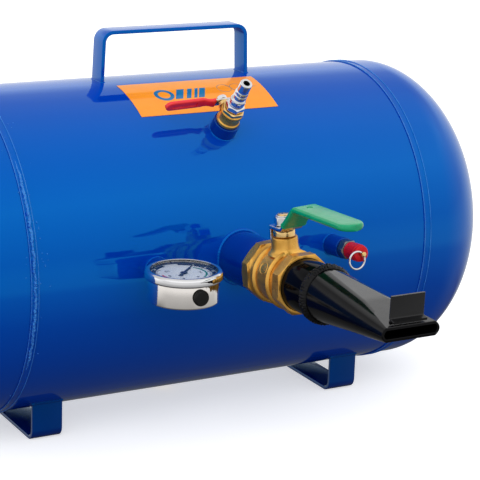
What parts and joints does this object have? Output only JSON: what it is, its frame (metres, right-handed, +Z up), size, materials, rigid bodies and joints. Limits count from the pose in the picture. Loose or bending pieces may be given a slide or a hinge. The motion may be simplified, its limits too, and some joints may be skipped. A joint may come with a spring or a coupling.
{
  "type": "air receiver tank",
  "caption": "Horizontal air receiver on strap feet with a carry handle, ball valve and flattened blast nozzle, filling valve, pressure gauge and pull-ring safety valve.",
  "frame": {"origin": "on the floor under the centre of the whole object's bounding box", "axes": "+X along the tank from the gauge end to the safety valve end, the nozzle points to -Y, +Z up; metres"},
  "size_m": [0.5298, 0.482, 0.306],
  "materials": {
    "blue_paint": "high gloss blue enamel on steel",
    "black_paint": "gloss black enamel on steel",
    "orange_label": "printed vinyl",
    "brass": "satin, as cast and machined",
    "chrome": "bright plate",
    "steel": "polished stainless steel",
    "green_sleeve": "dipped vinyl",
    "red_sleeve": "dipped vinyl",
    "red_anodised": "red anodised, knurled",
    "ptfe": "white, plain",
    "rubber": "black, matt",
    "dial_white": "printed white dial",
    "needle_black": "painted black",
    "glass": "clear, polished"
  },
  "bodies": {
    "tank": {"carry_handle": "blue_paint", "drain_bung": "blue_paint", "drain_plug": "brass", "fill_bung": "blue_paint", "fill_gland_nut": "brass", "fill_nipple": "chrome", "fill_seat_inner": "ptfe", "fill_seat_outer": "ptfe", "fill_valve_body": "brass", "foot_left": "blue_paint", "foot_right": "blue_paint", "gauge_bezel": "chrome", "gauge_bourdon_tube": "brass", "gauge_bung": "blue_paint", "gauge_case": "steel", "gauge_dial": "dial_white", "gauge_movement": "brass", "gauge_plug": "rubber", "gauge_stem": "brass", "gauge_window": "glass", "head_left": "blue_paint", "head_right": "blue_paint", "label": "orange_label", "main_bung": "blue_paint", "main_gland_nut": "brass", "main_packing": "ptfe", "main_seat_front": "ptfe", "main_seat_rear": "ptfe", "main_valve_body": "brass", "main_valve_end": "brass", "nozzle_bill": "black_paint", "nozzle_hook": "black_paint", "nozzle_pipe": "black_paint", "nozzle_weld": "black_paint", "safety_body": "steel", "safety_bung": "blue_paint", "safety_cap": "red_anodised", "safety_spring": "steel", "seam_weld_left": "blue_paint", "seam_weld_right": "blue_paint", "tank_shell": "blue_paint"},
    "main_lever": {"main_lever": "chrome", "main_lever_sleeve": "green_sleeve", "main_lever_nut": "chrome", "main_stem": "brass", "main_ball": "chrome"},
    "fill_lever": {"fill_lever": "chrome", "fill_lever_sleeve": "red_sleeve", "fill_lever_nut": "chrome", "fill_stem": "brass", "fill_ball": "chrome"},
    "needle": {"gauge_needle": "needle_black"},
    "safety_pull": {"safety_stem": "brass"},
    "pull_ring": {"pull_ring": "chrome"}
  },
  "joints": [
    {"name": "main_lever_turn", "type": "hinge", "parent": "tank", "child": "main_lever", "pos_m": [-0.0005, -0.07996, 0.15173], "axis": [0.0698, -0.0487, -0.9964], "range_deg": [0, 90]},
    {"name": "fill_lever_turn", "type": "hinge", "parent": "tank", "child": "fill_lever", "pos_m": [0.005, 0.02219, 0.25091], "axis": [-0.0523, 0.7761, 0.6285], "range_deg": [0, 90]},
    {"name": "needle_turn", "type": "hinge", "parent": "tank", "child": "needle", "pos_m": [-0.073, -0.05719, 0.147], "axis": [0, 0, -1], "range_deg": [0, 270]},
    {"name": "safety_pull_slide", "type": "slide", "parent": "tank", "child": "safety_pull", "axis": [0, -0.9962, 0.0872], "range_m": [0, 0.0007], "stiffness_N_per_m": 1500, "springref_m": -0.0001},
    {"name": "pull_ring_swing", "type": "hinge", "parent": "safety_pull", "child": "pull_ring", "pos_m": [0.08, -0.05814, 0.15396], "axis": [-0.6157, 0.0687, 0.785], "range_deg": [-8, 120]}
  ]
}
